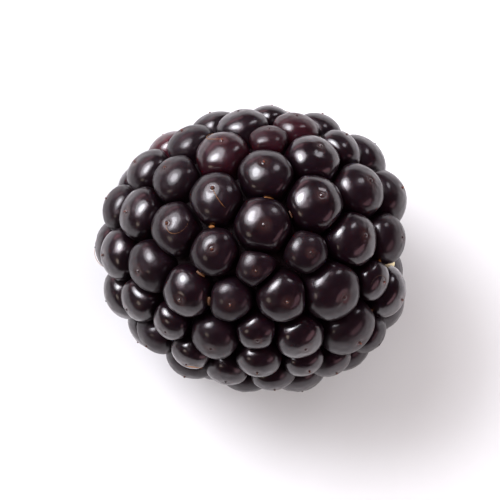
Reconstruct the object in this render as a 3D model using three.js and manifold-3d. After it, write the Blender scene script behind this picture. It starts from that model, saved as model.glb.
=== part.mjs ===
// A ripe bramble berry as picked, lying on its side. Millimetres, +Z up, and z = 0 is what it lies on.
// Its tip points to -X and its stem end to +X. It grew as one piece, so it is one closed solid: every
// drupelet's dome is raised over its own cell, and neighbouring cells share the crease between them.

import * as THREE from "three";
import { ConvexHull } from "three/addons/math/ConvexHull.js";
import { mergeVertices } from "three/addons/utils/BufferGeometryUtils.js";
import Module from "manifold-3d";

// The whole berry
const BERRY_LENGTH = 26.3; // stem end to tip, over the drupelets of a full berry
const BERRY_WIDTH = 23.5; // across the widest part
const TAPER = 0.06; // how much the tip half is slimmer than the stem half

// The drupelets
const DRUPELET_COUNT = 100;
const DRUPELET_RADIUS = 2.5; // of a middling dome
const SIZE_SPREAD = 0.18; // share by which single domes are larger or smaller
const TIP_SHRINK = 0.14; // the domes round the tip are smaller by this share
const LEVELLING = 0.7; // share of a large dome's extra radius that it sinks by
const RISE_SPREAD = 0.12; // how far a dome stands above or below its neighbours
const LEAN_SPREAD = 0.12; // sideways lean of a dome's own axis, in radians
const PRESS_SOFTNESS = 0.2; // rounding where two domes press on each other
const SEED = 31115;
const RANDOM_STEP = 16807; // the multiplier and the modulus of the fixed random series
const RANDOM_RANGE = 2147483647;

// Packing: how wide each drupelet's foot is, and how the feet push apart
const FOOT_RADIUS = 2.0;
const PACKING_ROUNDS = 150;
const PACKING_PUSH = 0.2;
const SEAT_JITTER = 0.32;

// The receptacle's scar at the stem end
const SCAR_RADIUS = 3.0; // between the drupelets round it
const SCAR_SINK = 0.35; // how far its middle lies under the seats' level
const SCAR_CAP = 0.95; // the share of the way to the stem pole where the drupelets stop
// Each ring of the scar: its radius, and its height above the scar's middle
const SCAR_PROFILE = [
  [0, 1.25],
  [0.55, 1.15],
  [1.2, 0.85],
  [2.1, 1.15],
  [2.5, 0.95],
];

// The mesh of each drupelet
const RING_SHARES = [0.3, 0.56, 0.78, 0.93]; // ring places, as shares of the way from the top to the crease
const EDGE_STEPS = 2; // steps along the crease between two corners
const GROOVE = 0.35; // how far the crease lies under the line where two domes meet
const LEAST_RISE = 0.6; // of that line above the plane of the domes' centres, where they hardly meet
const TURN_MARGIN = 0.01; // how much nearer the cell across a side must be before that side turns
const MERGE_DISTANCE = 1e-4; // corners nearer than this are one

// How it lies
const REST_ROLL = 1.26979; // about its own length
const REST_PITCH = -0.02031; // tip up or down
const REST_SHIFT = 0.544; // along its length
const REST_SIDE = 0.028; // sideways
const REST_HEIGHT = 11.409; // of its middle, low enough that the lowest drupelets are pressed flat by 0.15
const FLOOR_SIZE = 60; // the slab that trims the flats it rests on

const seatRadius = BERRY_WIDTH / 2 - DRUPELET_RADIUS;
const seatHalfLength = BERRY_LENGTH / 2 - DRUPELET_RADIUS;
const goldenTurn = Math.PI * (3 - Math.sqrt(5));

let drawn = SEED;

// The next random number of a fixed series, between low and high.
function draw(low, high) {
  drawn = (drawn * RANDOM_STEP) % RANDOM_RANGE;
  return low + ((high - low) * drawn) / RANDOM_RANGE;
}

// The point of the seats' egg-shaped surface in a direction from its centre, with z towards the tip.
function onEgg(direction) {
  const flare = seatRadius * (1 - TAPER * direction.z);
  return new THREE.Vector3(direction.x * flare, direction.y * flare, direction.z * seatHalfLength);
}

// The direction whose seat is nearest to a point close to the egg.
function offEgg(point) {
  const z = point.z / seatHalfLength;
  const flare = seatRadius * (1 - TAPER * z);
  return new THREE.Vector3(point.x / flare, point.y / flare, z).normalize();
}

function outwardAt(direction) {
  return new THREE.Vector3(
    direction.x / seatRadius,
    direction.y / seatRadius,
    direction.z / seatHalfLength,
  ).normalize();
}

// Adds to push what a point gets from another that is nearer than room.
function pushFrom(push, point, other, room) {
  const away = point.clone().sub(other);
  const distance = away.length();
  if (distance < room) push.addScaledVector(away, (room - distance) / distance);
}

// Directions of the drupelets' seats: a spiral from the tip to the scar, jittered, then pushed apart.
function packedSeats() {
  const seats = [];
  for (let i = 0; i < DRUPELET_COUNT; i++) {
    const z = 1 - ((i + 0.5) / DRUPELET_COUNT) * (1 + SCAR_CAP);
    const around = i * goldenTurn + draw(-SEAT_JITTER, SEAT_JITTER);
    const across = Math.sqrt(1 - z * z);
    const size = 1 + draw(-SIZE_SPREAD, SIZE_SPREAD) - TIP_SHRINK * Math.max(0, z) ** 3;
    const direction = new THREE.Vector3(across * Math.cos(around), across * Math.sin(around), z);
    seats.push({ direction, size });
  }
  const scar = onEgg(new THREE.Vector3(0, 0, -1));
  for (let round = 0; round < PACKING_ROUNDS; round++) {
    for (const seat of seats) {
      const here = onEgg(seat.direction);
      const push = new THREE.Vector3();
      for (const other of seats) {
        if (other === seat) continue;
        pushFrom(push, here, onEgg(other.direction), FOOT_RADIUS * (seat.size + other.size));
      }
      pushFrom(push, here, scar, SCAR_RADIUS + FOOT_RADIUS * seat.size);
      seat.direction = offEgg(here.addScaledVector(push, PACKING_PUSH));
    }
  }
  return seats;
}

// A drupelet: the middle, axis and radius of its dome, and the walls that its neighbours press on it.
function drupeletAt(seat) {
  const outward = outwardAt(seat.direction);
  const rise = draw(-RISE_SPREAD, RISE_SPREAD) - LEVELLING * DRUPELET_RADIUS * (seat.size - 1);
  const centre = onEgg(seat.direction).addScaledVector(outward, rise);
  const lean = new THREE.Vector3(draw(-1, 1), draw(-1, 1), draw(-1, 1));
  const axis = outward.clone().addScaledVector(lean, LEAN_SPREAD).normalize();
  return { centre, axis, radius: DRUPELET_RADIUS * seat.size, walls: [] };
}

// Gives a drupelet the flat wall that a neighbour presses on it, if the two reach each other.
function pressOn(drupelet, other) {
  const between = other.centre.clone().sub(drupelet.centre);
  const distance = between.length();
  if (distance === 0 || distance > drupelet.radius + other.radius) return;
  const reach = (distance ** 2 + drupelet.radius ** 2 - other.radius ** 2) / (2 * distance);
  drupelet.walls.push({ normal: between.divideScalar(distance), reach });
}

// The point of a dome's skin in a direction from its centre: on its sphere, or softly inside its walls.
function skinAt(drupelet, direction) {
  let nearness = Math.exp(-drupelet.radius / PRESS_SOFTNESS);
  for (const wall of drupelet.walls) {
    const facing = direction.dot(wall.normal);
    if (facing > 0) nearness += Math.exp(-wall.reach / facing / PRESS_SOFTNESS);
  }
  return drupelet.centre.clone().addScaledVector(direction, -PRESS_SOFTNESS * Math.log(nearness));
}

// How far a point is outside a cell's sphere, as a difference of squares.
function powerOf(point, cell) {
  return point.distanceToSquared(cell.centre) - cell.radius ** 2;
}

// The point in the plane of three cells' centres that is as far outside each of them as the others.
function meetingPoint(a, b, c) {
  const ab = b.centre.clone().sub(a.centre);
  const ac = c.centre.clone().sub(a.centre);
  const alongB = (ab.lengthSq() + a.radius ** 2 - b.radius ** 2) / 2;
  const alongC = (ac.lengthSq() + a.radius ** 2 - c.radius ** 2) / 2;
  const cross = ab.lengthSq() * ac.lengthSq() - ab.dot(ac) ** 2;
  const shareB = (alongB * ac.lengthSq() - alongC * ab.dot(ac)) / cross;
  const shareC = (alongC * ab.lengthSq() - alongB * ab.dot(ac)) / cross;
  return a.centre.clone().addScaledVector(ab, shareB).addScaledVector(ac, shareC);
}

// The pit where three cells meet: its foot in the plane of their centres, and the way out of the berry.
function pitOf(a, b, c) {
  const ab = b.centre.clone().sub(a.centre);
  const ac = c.centre.clone().sub(a.centre);
  return { foot: meetingPoint(a, b, c), normal: ab.cross(ac).normalize() };
}

// Turns a side of a triangle if the cell across it is nearer to the meeting point than its own cells are.
function turnSide(triangle, triangles, cells) {
  const meeting = meetingPoint(...triangle.map((cell) => cells[cell]));
  const own = powerOf(meeting, cells[triangle[0]]);
  for (let k = 0; k < 3; k++) {
    const a = triangle[k];
    const b = triangle[(k + 1) % 3];
    const c = triangle[(k + 2) % 3];
    const beyond = triangles.find((t) => t.includes(b) && t[(t.indexOf(b) + 1) % 3] === a);
    const d = beyond[(beyond.indexOf(a) + 1) % 3];
    if (powerOf(meeting, cells[d]) < own - TURN_MARGIN) {
      triangle.splice(0, 3, a, d, c);
      beyond.splice(0, 3, d, b, c);
      return true;
    }
  }
  return false;
}

// Neighbouring cells in threes, as index triples that turn left seen from outside.
function neighbourTriangles(cells) {
  const centres = cells.map((cell) => cell.centre);
  const triangles = new ConvexHull().setFromPoints(centres).faces.map((face) => {
    const edges = [0, 1, 2].map((k) => face.getEdge(k));
    return edges.map((edge) => centres.indexOf(edge.head().point));
  });
  let next = 0;
  while (next < triangles.length) {
    next = turnSide(triangles[next], triangles, cells) ? 0 : next + 1;
  }
  return triangles;
}

// The pits round one cell in order, as indices of triangles.
function pitsAround(cell, triangles) {
  const around = [];
  const mine = triangles.map((t, i) => i).filter((i) => triangles[i].includes(cell));
  let current = mine[0];
  do {
    around.push(current);
    const corners = triangles[current];
    const last = corners[(corners.indexOf(cell) + 2) % 3];
    current = mine.find((i) => {
      const next = triangles[i];
      return next[(next.indexOf(cell) + 1) % 3] === last;
    });
  } while (current !== mine[0]);
  return around;
}

// The crease of a cell from one pit to the next, without the second pit. It lies a little under the line
// where the cell's sphere meets its neighbour's, so both cells beside it get the same points.
function creaseBetween(from, to, pits, cell) {
  const [low, high] = from < to ? [from, to] : [to, from];
  const points = [];
  for (let step = 0; step < EDGE_STEPS; step++) {
    const share = from < to ? step / EDGE_STEPS : 1 - step / EDGE_STEPS;
    const foot = pits[low].foot.clone().lerp(pits[high].foot, share);
    const normal = pits[low].normal.clone().lerp(pits[high].normal, share).normalize();
    const rise = Math.sqrt(Math.max(LEAST_RISE ** 2, -powerOf(foot, cell))) - GROOVE;
    points.push(foot.addScaledVector(normal, rise));
  }
  return points;
}

// Rings of a drupelet's dome, from the one nearest the top out to the crease.
function domeRings(drupelet, crease) {
  const spokes = crease.map((point) => {
    const toCrease = point.clone().sub(drupelet.centre);
    const side = toCrease.clone().projectOnPlane(drupelet.axis).normalize();
    return { side, polar: toCrease.angleTo(drupelet.axis) };
  });
  return RING_SHARES.map((share) =>
    spokes.map(({ side, polar }) => {
      const tilt = share * polar;
      const direction = drupelet.axis.clone().multiplyScalar(Math.cos(tilt));
      return skinAt(drupelet, direction.addScaledVector(side, Math.sin(tilt)));
    }),
  ).concat([crease]);
}

// Rings of the scar's round pad, from its middle out, and then the crease round it.
function scarRings(scar, crease) {
  const rings = SCAR_PROFILE.slice(1).map(([radius, height]) =>
    crease.map((point) => {
      const side = point.clone().sub(scar.centre).projectOnPlane(scar.axis).normalize();
      return scar.centre.clone().addScaledVector(side, radius).addScaledVector(scar.axis, height);
    }),
  );
  return rings.concat([crease]);
}

// Adds the faces between a top point and its rings to a list of corner points.
function addCap(corners, top, rings) {
  const sides = rings[0].length;
  for (let k = 0; k < sides; k++) {
    const next = (k + 1) % sides;
    corners.push(top, rings[0][k], rings[0][next]);
    for (let r = 1; r < rings.length; r++) {
      corners.push(rings[r - 1][k], rings[r][k], rings[r][next]);
      corners.push(rings[r - 1][k], rings[r][next], rings[r - 1][next]);
    }
  }
}

// The closed skin of the whole berry about its own centre, with its tip at +z.
function berryGeometry() {
  const drupelets = packedSeats().map(drupeletAt);
  for (const drupelet of drupelets) {
    drupelets.forEach((other) => pressOn(drupelet, other));
  }
  const stemPole = new THREE.Vector3(0, 0, -1);
  const scarMiddle = onEgg(stemPole).addScaledVector(stemPole, -SCAR_SINK);
  const scar = { centre: scarMiddle, axis: stemPole, radius: SCAR_RADIUS };
  const cells = [...drupelets, scar];
  const triangles = neighbourTriangles(cells);
  const pits = triangles.map(([a, b, c]) => pitOf(cells[a], cells[b], cells[c]));
  const corners = [];
  cells.forEach((cell, i) => {
    const around = pitsAround(i, triangles);
    const crease = around.flatMap((pit, k) =>
      creaseBetween(pit, around[(k + 1) % around.length], pits, cell),
    );
    if (cell === scar) {
      const middle = scar.centre.clone().addScaledVector(scar.axis, SCAR_PROFILE[0][1]);
      addCap(corners, middle, scarRings(scar, crease));
    } else {
      addCap(corners, skinAt(cell, cell.axis), domeRings(cell, crease));
    }
  });
  return new THREE.BufferGeometry().setFromPoints(corners);
}

// Lays the berry on its side, in the pose in which it comes to rest.
function lieDown(geometry) {
  geometry.rotateZ(REST_ROLL);
  geometry.rotateY(REST_PITCH - Math.PI / 2);
  geometry.translate(REST_SHIFT, REST_SIDE, REST_HEIGHT);
}

const wasm = await Module();
wasm.setup();

// A solid from a closed geometry.
function solidFrom(geometry) {
  geometry.deleteAttribute("normal");
  geometry.deleteAttribute("uv");
  const merged = mergeVertices(geometry, MERGE_DISTANCE);
  const vertProperties = new Float32Array(merged.attributes.position.array);
  const triVerts = new Uint32Array(merged.index.array);
  return new wasm.Manifold(new wasm.Mesh({ numProp: 3, vertProperties, triVerts }));
}

// A geometry from a solid.
function geometryFrom(solid) {
  const mesh = solid.getMesh();
  const geometry = new THREE.BufferGeometry();
  geometry.setAttribute("position", new THREE.BufferAttribute(mesh.vertProperties, 3));
  geometry.setIndex(new THREE.BufferAttribute(mesh.triVerts, 1));
  return geometry;
}

const whole = berryGeometry();
lieDown(whole);
const floor = new THREE.BoxGeometry(FLOOR_SIZE, FLOOR_SIZE, FLOOR_SIZE);
floor.translate(0, 0, -FLOOR_SIZE / 2);
const trimmed = geometryFrom(solidFrom(whole).subtract(solidFrom(floor)));

const skin = new THREE.MeshStandardMaterial({ color: 0x1b0d18, roughness: 0.25, metalness: 0 });
const berry = new THREE.Mesh(trimmed, skin);
berry.name = "berry";

const part = new THREE.Group();
part.add(berry);

export default part;
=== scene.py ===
# A ripe bramble berry lying on a pale floor under soft studio light.
import math

import bpy
import numpy as np
from mathutils import Matrix, Vector


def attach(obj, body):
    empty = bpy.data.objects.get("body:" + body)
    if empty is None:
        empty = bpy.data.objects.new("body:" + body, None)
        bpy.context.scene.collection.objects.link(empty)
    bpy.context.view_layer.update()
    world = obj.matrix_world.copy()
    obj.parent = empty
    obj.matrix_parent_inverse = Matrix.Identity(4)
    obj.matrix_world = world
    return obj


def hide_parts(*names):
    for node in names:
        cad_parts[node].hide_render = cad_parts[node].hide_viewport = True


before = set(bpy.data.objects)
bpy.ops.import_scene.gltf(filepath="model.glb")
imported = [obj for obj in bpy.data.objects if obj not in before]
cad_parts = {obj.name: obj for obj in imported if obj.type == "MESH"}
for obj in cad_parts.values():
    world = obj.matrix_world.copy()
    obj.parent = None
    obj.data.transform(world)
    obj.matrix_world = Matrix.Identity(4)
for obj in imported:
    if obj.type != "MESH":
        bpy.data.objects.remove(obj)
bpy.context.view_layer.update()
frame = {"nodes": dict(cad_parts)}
bpy.ops.object.select_all(action="DESELECT")
print("berry frame loaded:", ", ".join(frame["nodes"]))


# the berry's layout, in millimetres with its tip at +z, as in the part's own source
berry = {
    "length": 26.3,
    "width": 23.5,
    "taper": 0.06,
    "count": 100,
    "drupeletRadius": 2.5,
    "sizeSpread": 0.18,
    "tipShrink": 0.14,
    "levelling": 0.7,
    "riseSpread": 0.12,
    "leanSpread": 0.12,
    "seed": 31115,
    "footRadius": 2.0,
    "packingRounds": 150,
    "packingPush": 0.2,
    "seatJitter": 0.32,
    "scarRadius": 3.0,
    "scarCap": 0.95,
    "roll": 1.26979,
    "pitch": -0.02031,
    "shift": (0.544, 0.028, 11.409),
}
millimetre = 0.001
seatRadius = berry["width"] / 2 - berry["drupeletRadius"]
seatHalfLength = berry["length"] / 2 - berry["drupeletRadius"]

# turns and moves a point of the upright berry to where it lies, in metres
layDown = (
    Matrix.Diagonal((millimetre, millimetre, millimetre, 1))
    @ Matrix.Translation(berry["shift"])
    @ Matrix.Rotation(berry["pitch"] - math.pi / 2, 4, "Y")
    @ Matrix.Rotation(berry["roll"], 4, "Z")
)


drawFactor = 16807
drawPrime = 2147483647


class Draws:  # a fixed series of random numbers
    def __init__(self, seed):
        self.state = seed

    def between(self, low, high):
        self.state = self.state * drawFactor % drawPrime
        return low + (high - low) * self.state / drawPrime


def unit(vectors):
    return vectors / np.linalg.norm(vectors, axis=-1, keepdims=True)


def onEgg(direction):
    flare = seatRadius * (1 - berry["taper"] * direction[..., 2])
    return np.stack(
        [direction[..., 0] * flare, direction[..., 1] * flare, direction[..., 2] * seatHalfLength], -1
    )


def offEgg(point):
    z = point[2] / seatHalfLength
    flare = seatRadius * (1 - berry["taper"] * z)
    return unit(np.array([point[0] / flare, point[1] / flare, z]))


def packSeats(draws):  # a spiral from tip to scar, jittered, then pushed apart
    goldenTurn = math.pi * (3 - math.sqrt(5))
    directions, sizes = [], []
    for i in range(berry["count"]):
        z = 1 - ((i + 0.5) / berry["count"]) * (1 + berry["scarCap"])
        around = i * goldenTurn + draws.between(-berry["seatJitter"], berry["seatJitter"])
        across = math.sqrt(1 - z * z)
        spread = draws.between(-berry["sizeSpread"], berry["sizeSpread"])
        sizes.append(1 + spread - berry["tipShrink"] * max(0, z) ** 3)
        directions.append([across * math.cos(around), across * math.sin(around), z])
    directions, sizes = np.array(directions), np.array(sizes)
    seats = onEgg(directions)
    scar = onEgg(np.array([0.0, 0.0, -1.0]))
    for _ in range(berry["packingRounds"]):
        for i in range(berry["count"]):
            away = seats[i] - np.vstack([seats, scar])
            feet = berry["footRadius"] * sizes
            room = feet[i] + np.append(feet, berry["scarRadius"])
            distance = np.linalg.norm(away, axis=1)
            distance[i] = np.inf
            near = distance < room
            push = (away[near] * (room[near] / distance[near] - 1)[:, None]).sum(0)
            directions[i] = offEgg(seats[i] + push * berry["packingPush"])
            seats[i] = onEgg(directions[i])
    return directions, seats, sizes


def layOutDrupelets():
    draws = Draws(berry["seed"])
    directions, seats, sizes = packSeats(draws)
    outward = unit(directions / [seatRadius, seatRadius, seatHalfLength])
    laidOut = []
    for i in range(berry["count"]):
        rise = draws.between(-berry["riseSpread"], berry["riseSpread"])
        rise -= berry["levelling"] * berry["drupeletRadius"] * (sizes[i] - 1)
        lean = np.array([draws.between(-1, 1) for _ in range(3)])
        laidOut.append({
            "centre": seats[i] + outward[i] * rise,
            "axis": unit(outward[i] + lean * berry["leanSpread"]),
            "radius": berry["drupeletRadius"] * sizes[i],
        })
    for drupelet in laidOut:  # the flat walls that its neighbours press on it
        drupelet["walls"] = []
        for other in laidOut:
            between = other["centre"] - drupelet["centre"]
            distance = np.linalg.norm(between)
            if 0 < distance <= drupelet["radius"] + other["radius"]:
                reach = (distance**2 + drupelet["radius"] ** 2 - other["radius"] ** 2) / (2 * distance)
                drupelet["walls"].append((between / distance, reach))
    return laidOut


# from its centre to its skin: its radius, or less near a wall
def skinReach(drupelet, ways, softness):
    nearness = np.full(len(ways), math.exp(-drupelet["radius"] / softness))
    for normal, reach in drupelet["walls"]:
        facing = ways @ normal
        ahead = facing > 0
        nearness[ahead] += np.exp(-reach / facing[ahead] / softness)
    return -softness * np.log(nearness)


def laidDown(points):  # points of the upright berry, where they lie on the floor
    turned = points @ np.array(layDown.to_3x3()).T + np.array(layDown.translation)
    turned[:, 2] = np.maximum(turned[:, 2], 0)
    return turned


drupelets = layOutDrupelets()
print("drupelets laid out:", len(drupelets))


# small helpers for modelling by hand

# edit mode, with only the faces selected whose middle and normal picks takes
def editMesh(piece, picks):
    bpy.ops.object.select_all(action="DESELECT")
    piece.select_set(True)
    bpy.context.view_layer.objects.active = piece
    bpy.ops.object.mode_set(mode="EDIT")
    bpy.ops.mesh.select_mode(type="FACE")
    bpy.ops.mesh.select_all(action="DESELECT")
    bpy.ops.object.mode_set(mode="OBJECT")
    for face in piece.data.polygons:
        face.select = bool(picks(face.center, face.normal))
    bpy.ops.object.mode_set(mode="EDIT")


def endEdit():
    bpy.ops.object.mode_set(mode="OBJECT")


def getPoints(piece):
    flat = np.empty(len(piece.data.vertices) * 3)
    piece.data.vertices.foreach_get("co", flat)
    return flat.reshape(-1, 3)


def setPoints(piece, points):
    piece.data.vertices.foreach_set("co", np.asarray(points, float).ravel())
    piece.data.update()


def copyOf(piece, name):
    copy = piece.copy()
    copy.data = piece.data.copy()
    copy.name = name
    bpy.context.collection.objects.link(copy)
    return copy


def paint(piece, name, values):  # one colour for every point, or the same for all of them
    layer = piece.data.color_attributes.new(name, "FLOAT_COLOR", "POINT")
    count = len(piece.data.vertices)
    colours = np.ones((count, 4))
    colours[:, :3] = values
    layer.data.foreach_set("color", colours.ravel())


def joinAs(pieces, name):
    bpy.ops.object.select_all(action="DESELECT")
    for piece in pieces:
        piece.select_set(True)
    bpy.context.view_layer.objects.active = pieces[0]
    bpy.ops.object.join()
    joined = bpy.context.object
    joined.name = name
    joined.data.name = name
    bpy.ops.object.shade_smooth()
    bpy.ops.object.select_all(action="DESELECT")
    return joined


def drop(piece):
    mesh = piece.data
    bpy.data.objects.remove(piece)
    bpy.data.meshes.remove(mesh)


# shader maths: a wrapped socket, so that sums on it are written as sums

class Wire:
    def __init__(self, finish, socket):
        self.finish = finish
        self.socket = socket

    def maths(self, operation, first, second):
        return self.finish.node("ShaderNodeMath", {"operation": operation}, {0: first, 1: second})

    def __add__(self, other):
        return self.maths("ADD", self, other)

    def __radd__(self, other):
        return self.maths("ADD", other, self)

    def __sub__(self, other):
        return self.maths("SUBTRACT", self, other)

    def __rsub__(self, other):
        return self.maths("SUBTRACT", other, self)

    def __mul__(self, other):
        return self.maths("MULTIPLY", self, other)

    def __rmul__(self, other):
        return self.maths("MULTIPLY", other, self)

    def __pow__(self, other):
        return self.maths("POWER", self, other)


class Finish:  # a material and the wires of its nodes
    def __init__(self, name, fixed):
        self.material = bpy.data.materials.new(name)
        self.material.use_nodes = True
        self.tree = self.material.node_tree
        self.shader = self.tree.nodes["Principled BSDF"]
        self.fill(self.shader, fixed)

    def fill(self, node, inputs):
        for name, value in inputs.items():
            if isinstance(value, Wire):
                self.tree.links.new(value.socket, node.inputs[name])
            else:
                node.inputs[name].default_value = value

    def node(self, kind, settings=None, inputs=None, output=0):
        node = self.tree.nodes.new(kind)
        for name, value in (settings or {}).items():
            setattr(node, name, value)
        self.fill(node, inputs or {})
        return Wire(self, node.outputs[output])

    def place(self):  # object coordinates in millimetres
        coordinates = self.node("ShaderNodeTexCoord", output="Object")
        return self.node("ShaderNodeMapping", {}, {"Vector": coordinates, "Scale": (1000, 1000, 1000)})

    def noise(self, scale, detail=2, roughness=0.5, place=None):
        inputs = {"Vector": place or self.place(), "Scale": scale, "Detail": detail, "Roughness": roughness}
        return self.node("ShaderNodeTexNoise", {}, inputs, "Fac")

    def blend(self, share, first, second):  # of two colours, which are inputs 6 and 7 of the node
        return self.node("ShaderNodeMix", {"data_type": "RGBA"}, {0: share, 6: first, 7: second}, 2)

    def painted(self, name):  # the three channels of a painted layer
        layer = self.node("ShaderNodeVertexColor", {"layer_name": name}, {}, "Color")
        return [self.node("ShaderNodeSeparateColor", {}, {"Color": layer}, k) for k in range(3)]

    def bump(self, height, distance, strength=1, below=None):
        inputs = {"Height": height, "Distance": distance, "Strength": strength}
        if below:
            inputs["Normal"] = below
        return self.node("ShaderNodeBump", {}, inputs, "Normal")


# the drupelets

drupeletLook = {
    "segments": 36,
    "rings": 22,
    "dimpleInset": 0.05,  # all these as shares of its radius
    "dimpleDepth": 0.016,
    "stubInset": 0.055,
    "stubHeight": 0.05,
    "stubTaper": 0.7,
    "stubShare": 0.35,  # of the drupelets that still carry a stub
    "clearance": 0.02,  # between the skins of two neighbours
    "softness": 0.33,
    "dents": 3,
    "dentDepth": 0.008,
    "dentWaves": 4,
    "paintedGlowSide": 0.3,  # how much redder the drupelets towards -x and +y are: a painted glow on the side the key light shines from
    "ripest": 0.75,
    "tipStart": 0.975,  # the cosine at which the brown round its stub starts
    "tipBlur": 0.02,
    "unevenness": 0.012,
    "tallness": (0.99, 1.01),
    "seed": 61,
}


def modelDrupelet():
    look = drupeletLook
    bpy.ops.mesh.primitive_uv_sphere_add(segments=look["segments"], ring_count=look["rings"], radius=1)
    ball = bpy.context.object
    ball.name = "drupeletForm"
    topRing = math.cos(math.pi / look["rings"])
    editMesh(ball, lambda middle, normal: middle.z > topRing)
    bpy.ops.mesh.inset(thickness=look["dimpleInset"])
    bpy.ops.transform.translate(value=(0, 0, -look["dimpleDepth"]))
    bpy.ops.mesh.inset(thickness=look["stubInset"])
    bpy.ops.mesh.extrude_region_move(TRANSFORM_OT_translate={"value": (0, 0, look["stubHeight"])})
    bpy.ops.transform.resize(value=(look["stubTaper"], look["stubTaper"], 1))
    endEdit()
    return ball


def makeDrupelets():
    look = drupeletLook
    draws = Draws(look["seed"])
    form = modelDrupelet()
    copies = []
    for i, drupelet in enumerate(drupelets):
        copy = copyOf(form, f"drupelet{i}")
        axis = Vector(drupelet["axis"])
        around = Matrix.Rotation(draws.between(0, math.tau), 3, "Z")
        stretch = Matrix.Diagonal((
            1 + draws.between(-look["unevenness"], look["unevenness"]),
            1 + draws.between(-look["unevenness"], look["unevenness"]),
            draws.between(*look["tallness"]),
        ))
        turn = axis.to_track_quat("Z", "Y").to_matrix() @ around @ stretch
        shape = getPoints(form)
        stub = np.clip((np.linalg.norm(shape, axis=1) - 1) / look["stubHeight"] * 2, 0, 1)
        if draws.between(0, 1) > look["stubShare"]:
            shape = shape * np.where(stub > 0, 1 - look["dimpleDepth"], 1)[:, None]
            stub = stub * 0
        points = shape @ np.array(turn).T
        ways = unit(points)
        reach = skinReach(drupelet, ways, look["softness"]) - look["clearance"]
        dents = sum(
            np.sin(
                ways @ [draws.between(-look["dentWaves"], look["dentWaves"]) for _ in range(3)]
                + draws.between(0, math.tau)
            )
            for _ in range(look["dents"])
        )
        reach = reach * (1 + look["dentDepth"] * dents)
        points = drupelet["centre"] + points * reach[:, None]
        setPoints(copy, laidDown(points))
        tone = draws.between(0, 1)
        lie = laidDown(drupelet["centre"][None, :])[0] / (seatRadius * millimetre)
        # a random real ripeness, plus a painted red glow on the side the key light shines from
        ripenessAndGlow = draws.between(0, look["ripest"]) + look["paintedGlowSide"] * (lie[1] - lie[0])
        tip = np.clip((ways @ drupelet["axis"] - look["tipStart"]) / look["tipBlur"], 0, 1)
        everywhere = np.ones(len(points))
        paint(copy, "juice", np.stack([everywhere * tone, everywhere * ripenessAndGlow, tip], 1))
        paint(copy, "stub", np.stack([stub] * 3, 1))
        copies.append(copy)
    drop(form)
    return joinAs(copies, "drupelets")


def makeSkin():
    skin = Finish("drupeletSkin", {
        "IOR": 1.38,
        "Specular IOR Level": 0.3,
        "Coat IOR": 1.62,
        "Coat Roughness": 0.17,
        "Specular Tint": (1.0, 0.82, 0.86, 1),
        "Coat Tint": (1.0, 0.93, 0.95, 1),
        "Subsurface Radius": (1.0, 0.16, 0.1),
        "Subsurface Scale": 0.0012,
        "Subsurface Weight": 0.2,
    })
    place = skin.place()
    tone, ripenessAndGlow, tip = skin.painted("juice")
    stub = skin.painted("stub")[0]
    mottle = skin.noise(0.9, 3, 0.6, place)
    dark = skin.blend(mottle, (0.0012, 0.0004, 0.0008, 1), (0.005, 0.0014, 0.003, 1))
    red = skin.blend(mottle, (0.026, 0.001, 0.003, 1), (0.07, 0.004, 0.011, 1))
    # red share: the real ripe red of some drupelets, and the painted glow of the lit side
    redShare = skin.node("ShaderNodeMapRange", {}, {
        "Value": ripenessAndGlow, "From Min": 0.8, "From Max": 1.15, "To Min": 0.0, "To Max": 0.75,
    })
    colour = skin.blend(tip * mottle * 0.6, skin.blend(redShare, dark, red), (0.035, 0.016, 0.014, 1))
    colour = skin.blend(stub, colour, (0.05, 0.022, 0.012, 1))
    haze = skin.noise(2.2, 4, 0.65, place)
    fine = skin.noise(14, 2, 0.5, place)
    waves = skin.noise(0.75, 1, 0.4, place)
    roughness = 0.2 + haze * 0.22 + tone * 0.16 + stub * 0.3
    skin.fill(skin.shader, {
        "Base Color": colour,
        "Roughness": roughness,
        "Coat Weight": (0.8 - tone * 0.55) * (1 - stub),
        "Normal": skin.bump(fine, 0.00001, 0.5, skin.bump(waves, 0.0003, 1)),
    })
    return skin.material


print("modelling the drupelets")
drupeletPiece = makeDrupelets()
drupeletPiece.data.materials.clear()
drupeletPiece.data.materials.append(makeSkin())
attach(drupeletPiece, "root")
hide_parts("berry")
print("drupelets:", len(drupeletPiece.data.polygons), "faces")


# the receptacle: the core that the drupelets grow on, and its scar at the stem end

receptacleLook = {
    "segments": 40,
    "rings": 28,
    "swell": 0.0,  # how far it stands out of the drupelets' seats
    "cut": 10.25,  # where the scar's end is cut square, from the middle
    "cutFlat": -0.999,  # faces that look along -z more than this are the cut
    "collar": 0.75,
    "padRise": 0.75,
    "padTaper": 0.93,
    "rim": (0.4, -0.12),  # an inset, and how far it then moves along z
    "hollow": (0.75, 0.3),
    "plug": (0.55, -0.28),
    "plugTop": (0.3, -0.05),
    "rounding": 2,
    "scarEdge": 0.05,
    "scarBlur": 0.3,
    "stainRadius": 2.6,
    "grain": 0.05,
    "grainRadius": 1.2,
    "ripples": ((9, 1.3, 1), (17, 0.4, 0.7), (29, 0, 0.5)),  # count round it, phase, height
}


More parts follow.
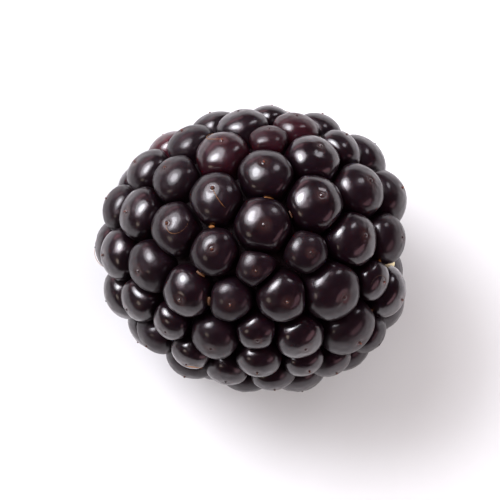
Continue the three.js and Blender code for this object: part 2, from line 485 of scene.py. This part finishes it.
def modelReceptacle():
    look = receptacleLook
    radius, halfLength = seatRadius + look["swell"], seatHalfLength + look["swell"]
    bpy.ops.mesh.primitive_uv_sphere_add(
        segments=look["segments"], ring_count=look["rings"], radius=1, scale=(radius, radius, halfLength)
    )
    core = bpy.context.object
    core.name = "receptacle"
    bpy.ops.object.transform_apply(location=False, rotation=False, scale=True)
    editMesh(core, lambda middle, normal: True)
    bpy.ops.mesh.bisect(
        plane_co=(0, 0, -look["cut"]), plane_no=(0, 0, -1), use_fill=True, clear_outer=True
    )
    endEdit()
    lowest = look["scarEdge"] - look["cut"]
    editMesh(core, lambda middle, normal: normal.z < look["cutFlat"] and middle.z < lowest)
    bpy.ops.mesh.inset(thickness=look["collar"])
    bpy.ops.mesh.extrude_region_move(TRANSFORM_OT_translate={"value": (0, 0, -look["padRise"])})
    bpy.ops.transform.resize(value=(look["padTaper"], look["padTaper"], 1))
    for inset, move in (look["rim"], look["hollow"], look["plug"], look["plugTop"]):
        bpy.ops.mesh.inset(thickness=inset)
        bpy.ops.transform.translate(value=(0, 0, move))
    endEdit()
    rounding = core.modifiers.new("rounding", "SUBSURF")
    rounding.levels = rounding.render_levels = look["rounding"]
    bpy.ops.object.modifier_apply(modifier=rounding.name)
    return core


def makeReceptacle():
    look = receptacleLook
    core = modelReceptacle()
    points = getPoints(core)
    across = np.hypot(points[:, 0], points[:, 1])
    onScar = np.clip((-points[:, 2] - look["cut"] - look["scarEdge"]) / look["scarBlur"], 0, 1)
    around = np.arctan2(points[:, 1], points[:, 0])
    ripple = sum(height * np.sin(around * count + phase) for count, phase, height in look["ripples"])
    points[:, 2] += ripple * look["grain"] * onScar * np.clip(across / look["grainRadius"], 0, 1)
    setPoints(core, laidDown(points))
    stain = np.clip(across / look["stainRadius"], 0, 1)
    paint(core, "scar", np.stack([onScar, stain, np.zeros(len(points))], 1))
    bpy.ops.object.select_all(action="DESELECT")
    core.select_set(True)
    bpy.context.view_layer.objects.active = core
    bpy.ops.object.shade_smooth()
    core.select_set(False)
    return core


def makeFlesh():
    flesh = Finish("receptacleFlesh", {
        "Specular IOR Level": 0.15,
        "Subsurface Weight": 0.2,
        "Subsurface Radius": (1.0, 0.8, 0.5),
        "Subsurface Scale": 0.0008,
    })
    place = flesh.place()
    onScar, stain = flesh.painted("scar")[:2]
    fibre = flesh.noise(3.2, 5, 0.7, place)
    pale = flesh.blend(fibre, (0.36, 0.30, 0.15, 1), (0.62, 0.60, 0.40, 1))
    stained = flesh.blend(stain**3, pale, (0.2, 0.06, 0.07, 1))
    # painted shade: the core between the drupelets is coloured near black, for the shade down in their gaps
    paintedShadeCore = flesh.blend(fibre, (0.001, 0.0003, 0.0008, 1), (0.006, 0.0012, 0.002, 1))
    flesh.fill(flesh.shader, {
        "Base Color": flesh.blend(onScar, paintedShadeCore, stained),
        "Roughness": 0.75 - fibre * 0.1,
        "Normal": flesh.bump(fibre, 0.00012),
    })
    return flesh.material


print("modelling the receptacle")
receptaclePiece = makeReceptacle()
receptaclePiece.data.materials.append(makeFlesh())
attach(receptaclePiece, "root")


# the dried styles: curled threads on some domes, and short brown ends of them down in the creases

styleLook = {
    "onDomes": 9,
    "inCreases": 30,
    "sides": 5,
    "steps": 10,
    "taper": 0.93,  # from one step to the next
    "domeThickness": (0.025, 0.04),
    "reach": (0.6, 1.2),  # how far it curls over its drupelet, in radians
    "start": 0.04,  # how far from its top a thread starts, in radians
    "root": 0.03,
    "arch": 1.15,
    "lift": (0.02, 0.25),
    "drift": 1.9,
    "creaseThickness": (0.1, 0.24),
    "creaseReach": (0.14, 0.34),
    "creaseSwing": 0.3,
    "creaseLift": (-0.6, -0.12),
    "waist": (0.1, 0.8, 0.7),  # where along half a sine it starts, how much of it, and its power
    "seed": 915,
}


def modelStyle():  # one thread of length 1 and radius 1, standing on z
    look = styleLook
    bpy.ops.mesh.primitive_circle_add(vertices=look["sides"], radius=1, fill_type="NGON")
    thread = bpy.context.object
    thread.name = "styleForm"
    editMesh(thread, lambda middle, normal: True)
    for _ in range(look["steps"]):
        bpy.ops.mesh.extrude_region_move(TRANSFORM_OT_translate={"value": (0, 0, 1 / look["steps"])})
        bpy.ops.transform.resize(value=(look["taper"], look["taper"], 1))
    bpy.ops.mesh.select_all(action="SELECT")
    bpy.ops.mesh.normals_make_consistent(inside=False)
    endEdit()
    return thread


def domePath(drupelet, along, draws):  # from its top down over its skin
    look = styleLook
    turn = np.array(Vector(drupelet["axis"]).to_track_quat("Z", "Y").to_matrix())
    polar = look["start"] + draws.between(*look["reach"]) * along
    azimuth = draws.between(0, math.tau) + draws.between(-look["drift"], look["drift"]) * along**2
    flat = np.sin(polar)
    ways = np.stack([flat * np.cos(azimuth), flat * np.sin(azimuth), np.cos(polar)], 1) @ turn.T
    bow = np.sin(math.pi * np.clip(along * look["arch"], 0, 1))
    lift = look["root"] + draws.between(*look["lift"]) * bow
    skin = skinReach(drupelet, ways, drupeletLook["softness"])
    path = drupelet["centre"] + ways * (skin + lift)[:, None]
    return path, unit(np.cross(drupelet["axis"], ways)), ways


def creasePath(drupelet, along, draws):  # along the crease between it and a neighbour
    look = styleLook
    normal, reach = drupelet["walls"][int(draws.between(0, len(drupelet["walls"])))]
    outward = unit(drupelet["axis"] - normal * (drupelet["axis"] @ normal))
    sideways = np.cross(normal, outward)
    middle = draws.between(-look["creaseSwing"], look["creaseSwing"])
    angle = middle + draws.between(*look["creaseReach"]) * (along - 0.5) * 2
    rise = math.sqrt(max(drupelet["radius"] ** 2 - reach**2, 0)) + draws.between(*look["creaseLift"])
    ways = np.cos(angle)[:, None] * outward + np.sin(angle)[:, None] * sideways
    path = drupelet["centre"] + normal * reach + ways * rise
    return path, np.tile(normal, (len(along), 1)), ways


def makeStyles():
    look = styleLook
    draws = Draws(look["seed"])
    form = modelStyle()
    base = getPoints(form)
    first, share, power = look["waist"]
    kinds = [(domePath, look["domeThickness"])] * look["onDomes"]
    kinds += [(creasePath, look["creaseThickness"])] * look["inCreases"]
    copies = []
    for i, (pathOf, thicknesses) in enumerate(kinds):
        drupelet = drupelets[int(draws.between(0, len(drupelets)))]
        thickness = draws.between(*thicknesses)
        path, sideways, upwards = pathOf(drupelet, base[:, 2], draws)
        width = thickness * np.sin(math.pi * (first + share * base[:, 2:])) ** power
        points = path + (sideways * base[:, :1] + upwards * base[:, 1:2]) * width
        copy = copyOf(form, f"style{i}")
        setPoints(copy, laidDown(points))
        paint(copy, "age", draws.between(0, 1))
        copies.append(copy)
    drop(form)
    return joinAs(copies, "styles")


def makeStraw():
    straw = Finish("driedStyle", {"Specular IOR Level": 0.4})
    place = straw.place()
    patches = straw.noise(1.6, 3, 0.6, place)
    amber = straw.blend(patches, (0.07, 0.022, 0.004, 1), (0.32, 0.12, 0.02, 1))
    straw.fill(straw.shader, {
        "Base Color": straw.blend(straw.painted("age")[0], amber, (0.03, 0.012, 0.006, 1)),
        "Roughness": 0.5 + patches * 0.3,
        "Normal": straw.bump(straw.noise(20, 2, 0.5, place), 0.00001),
    })
    return straw.material


print("modelling the dried styles")
stylePiece = makeStyles()
stylePiece.data.materials.clear()
stylePiece.data.materials.append(makeStraw())
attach(stylePiece, "root")


# the floor, the light and the camera

studio = {
    "floorSize": 3.0,
    "floorColour": (0.39, 0.386, 0.389, 1),
    "surround": (0.68, 0.6, 0.62),
    "surroundStrength": 0.05,
    "target": (0.0, 0.0, 0.0112),
    "azimuth": 0,
    "elevation": 75,
    "distance": 0.225,
    "lens": 200,
    "nearest": 0.01,
    "grainShade": 0.985,
}
# name: (azimuth and elevation it shines from, distance, width, height, watts, colour, seen in the gloss)
lights = {
    "keyWindow": (-54, 50, 0.5, 0.56, 0.42, 4.4, (0.93, 0.94, 1.0), True),
    "keyMiddle": (-58, 51, 0.49, 0.28, 0.2, 3.0, (0.93, 0.94, 1.0), True),
    "farWindow": (40, 34, 0.6, 0.14, 0.24, 0.55, (0.95, 0.93, 1.0), True),
    "farGlow": (-28, 10, 0.6, 0.5, 0.12, 0.3, (1.0, 0.5, 0.58), True),
    "nearGlow": (125, 17, 0.6, 0.5, 0.2, 0.36, (1.0, 0.56, 0.64), True),
    "warmLamp": (-128, 28, 0.5, 0.16, 0.12, 0.16, (1.0, 0.84, 0.7), True),
    "topFill": (0, 88, 0.6, 0.8, 0.8, 3.6, (1.0, 0.95, 0.96), False),
    "sideFill": (115, 35, 0.6, 0.6, 0.5, 5.4, (1.0, 0.95, 0.96), False),
}


def fromAngles(azimuth, elevation, distance):  # azimuth 0 is beyond the berry, 90 is to its right
    azimuth, elevation = math.radians(azimuth), math.radians(elevation)
    flat = distance * math.cos(elevation)
    return Vector((flat * math.sin(azimuth), flat * math.cos(azimuth), distance * math.sin(elevation)))


def makeFloor():
    bpy.ops.mesh.primitive_plane_add(size=studio["floorSize"])
    floor = bpy.context.object
    floor.name = "floor"
    paper = Finish("paper", {"Specular IOR Level": 0.2})
    grain = paper.noise(0.6, 3)
    white = studio["floorColour"]
    shade = tuple(studio["grainShade"] * part for part in white[:3]) + (1,)
    paper.fill(paper.shader, {
        "Base Color": paper.blend(grain, white, shade),
        "Roughness": 0.85 + grain * 0.1,
    })
    floor.data.materials.append(paper.material)


def makeLights():
    target = Vector(studio["target"])
    for name, (azimuth, elevation, distance, width, height, watts, colour, inGloss) in lights.items():
        place = target + fromAngles(azimuth, elevation, distance)
        bpy.ops.object.light_add(type="AREA", location=place)
        lamp = bpy.context.object
        lamp.name = name
        lamp.data.shape = "ELLIPSE"
        lamp.data.size = width
        lamp.data.size_y = height
        lamp.data.energy = watts
        lamp.data.color = colour
        lamp.visible_glossy = inGloss
        lamp.rotation_euler = (target - place).to_track_quat("-Z", "Y").to_euler()
    world = bpy.data.worlds.new("surround")
    bpy.context.scene.world = world
    world.use_nodes = True
    background = world.node_tree.nodes["Background"]
    background.inputs["Color"].default_value = studio["surround"] + (1,)
    background.inputs["Strength"].default_value = studio["surroundStrength"]


def makeCamera():
    target = Vector(studio["target"])
    place = target + fromAngles(180 + studio["azimuth"], studio["elevation"], studio["distance"])
    bpy.ops.object.camera_add(location=place)
    camera = bpy.context.object
    camera.name = "camera"
    camera.data.lens = studio["lens"]
    camera.data.clip_start = studio["nearest"]
    camera.rotation_euler = (target - place).to_track_quat("-Z", "Y").to_euler()
    bpy.context.scene.camera = camera


print("setting the floor, lights and camera")
makeFloor()
makeLights()
makeCamera()
bpy.context.scene.view_settings.view_transform = "Standard"
bpy.ops.object.select_all(action="DESELECT")

print("berry ready")
